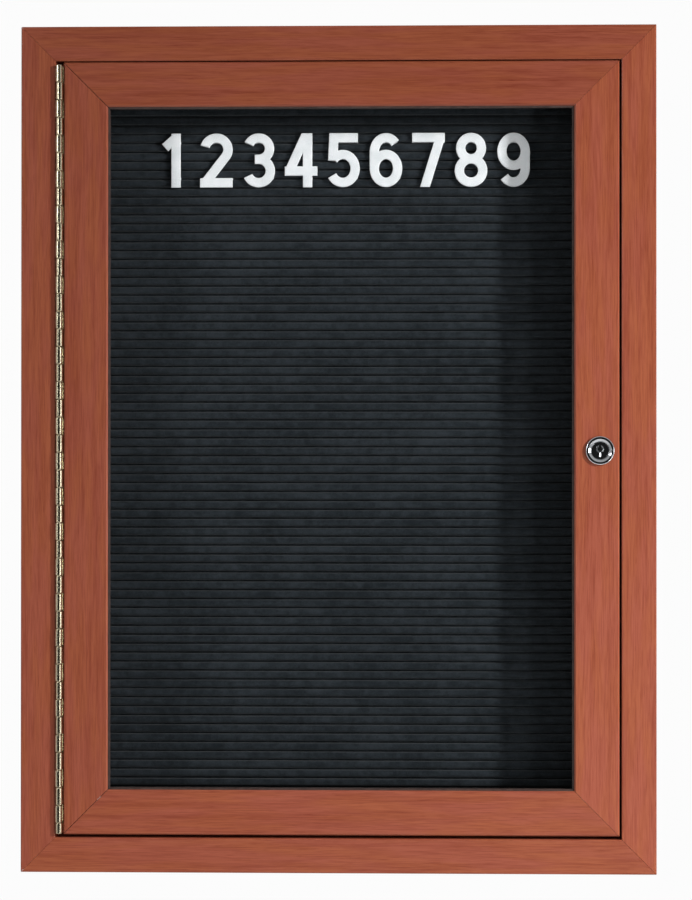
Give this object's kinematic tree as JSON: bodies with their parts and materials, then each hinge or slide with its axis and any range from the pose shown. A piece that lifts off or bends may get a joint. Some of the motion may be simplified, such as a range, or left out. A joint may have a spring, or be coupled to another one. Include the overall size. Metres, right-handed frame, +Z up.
{
  "type": "lockable notice board",
  "caption": "Wall-hung letter board in a mitred wood-grain cabinet with a glazed, side-hinged door, a full-length hinge, a cam lock and press-in numerals.",
  "frame": {"origin": "middle of the flat back, on the wall", "axes": "+Z up, +Y from the front into the wall, +X to the right for someone who faces the board"},
  "size_m": [0.4572, 0.0544, 0.6096],
  "materials": {
    "frame_foil": "cherry wood-grain foil over aluminium, satin",
    "letter_felt": "black felt flock, matte",
    "hardboard": "brown hardboard, matte",
    "window_clear": "clear acrylic sheet, gloss",
    "gasket_vinyl": "dark brown vinyl, satin",
    "hinge_brass": "pale brass plate, satin",
    "lock_chrome": "bright chrome",
    "zinc_steel": "zinc-plated steel",
    "bumper_rubber": "black rubber, matte",
    "numeral_plastic": "white moulded plastic, satin"
  },
  "bodies": {
    "cabinet": {"cabinet_top_rail": "frame_foil", "cabinet_bottom_rail": "frame_foil", "cabinet_hinge_stile": "frame_foil", "cabinet_lock_stile": "frame_foil", "cabinet_corner_key_bottom_left": "zinc_steel", "cabinet_corner_key_bottom_right": "zinc_steel", "cabinet_corner_key_top_left": "zinc_steel", "cabinet_corner_key_top_right": "zinc_steel", "back_panel": "hardboard", "letter_panel": "letter_felt", "panel_screw_1": "zinc_steel", "panel_screw_2": "zinc_steel", "panel_screw_3": "zinc_steel", "panel_screw_4": "zinc_steel", "panel_screw_5": "zinc_steel", "panel_screw_6": "zinc_steel", "hinge_leaf_cabinet": "hinge_brass", "hinge_pin": "hinge_brass", "hinge_screw_cabinet_1": "hinge_brass", "hinge_screw_cabinet_2": "hinge_brass", "hinge_screw_cabinet_3": "hinge_brass", "hinge_screw_cabinet_4": "hinge_brass", "hinge_screw_cabinet_5": "hinge_brass", "door_bumper_lower": "bumper_rubber", "door_bumper_upper": "bumper_rubber"},
    "door": {"door_top_rail": "frame_foil", "door_bottom_rail": "frame_foil", "door_hinge_stile": "frame_foil", "door_lock_stile": "frame_foil", "door_corner_key_bottom_left": "zinc_steel", "door_corner_key_bottom_right": "zinc_steel", "door_corner_key_top_left": "zinc_steel", "door_corner_key_top_right": "zinc_steel", "window_pane": "window_clear", "window_gasket_bottom": "gasket_vinyl", "window_gasket_right": "gasket_vinyl", "window_gasket_top": "gasket_vinyl", "window_gasket_left": "gasket_vinyl", "hinge_leaf_door": "hinge_brass", "hinge_screw_door_1": "hinge_brass", "hinge_screw_door_2": "hinge_brass", "hinge_screw_door_3": "hinge_brass", "hinge_screw_door_4": "hinge_brass", "hinge_screw_door_5": "hinge_brass", "lock_barrel": "lock_chrome", "lock_nut": "zinc_steel"},
    "lock": {"lock_plug": "lock_chrome", "lock_cam": "zinc_steel", "cam_screw": "zinc_steel"},
    "numeral_1_body": {"numeral_1": "numeral_plastic"},
    "numeral_2_body": {"numeral_2": "numeral_plastic"},
    "numeral_3_body": {"numeral_3": "numeral_plastic"},
    "numeral_4_body": {"numeral_4": "numeral_plastic"},
    "numeral_5_body": {"numeral_5": "numeral_plastic"},
    "numeral_6_body": {"numeral_6": "numeral_plastic"},
    "numeral_7_body": {"numeral_7": "numeral_plastic"},
    "numeral_8_body": {"numeral_8": "numeral_plastic"},
    "numeral_9_body": {"numeral_9": "numeral_plastic"}
  },
  "joints": [
    {"name": "door_hinge", "type": "hinge", "parent": "cabinet", "child": "door", "pos_m": [-0.20087, -0.052, 0], "axis": [0, 0, -1], "range_deg": [0, 175]},
    {"name": "lock_turn", "type": "hinge", "parent": "door", "child": "lock", "pos_m": [0.1881, -0.0532, -0.001], "axis": [0, -1, 0], "range_deg": [0, 90]},
    {"name": "numeral_1_pull", "type": "slide", "parent": "cabinet", "child": "numeral_1_body", "axis": [0, -1, 0], "range_m": [0, 0.01]},
    {"name": "numeral_2_pull", "type": "slide", "parent": "cabinet", "child": "numeral_2_body", "axis": [0, -1, 0], "range_m": [0, 0.01]},
    {"name": "numeral_3_pull", "type": "slide", "parent": "cabinet", "child": "numeral_3_body", "axis": [0, -1, 0], "range_m": [0, 0.01]},
    {"name": "numeral_4_pull", "type": "slide", "parent": "cabinet", "child": "numeral_4_body", "axis": [0, -1, 0], "range_m": [0, 0.01]},
    {"name": "numeral_5_pull", "type": "slide", "parent": "cabinet", "child": "numeral_5_body", "axis": [0, -1, 0], "range_m": [0, 0.01]},
    {"name": "numeral_6_pull", "type": "slide", "parent": "cabinet", "child": "numeral_6_body", "axis": [0, -1, 0], "range_m": [0, 0.01]},
    {"name": "numeral_7_pull", "type": "slide", "parent": "cabinet", "child": "numeral_7_body", "axis": [0, -1, 0], "range_m": [0, 0.01]},
    {"name": "numeral_8_pull", "type": "slide", "parent": "cabinet", "child": "numeral_8_body", "axis": [0, -1, 0], "range_m": [0, 0.01]},
    {"name": "numeral_9_pull", "type": "slide", "parent": "cabinet", "child": "numeral_9_body", "axis": [0, -1, 0], "range_m": [0, 0.01]}
  ]
}
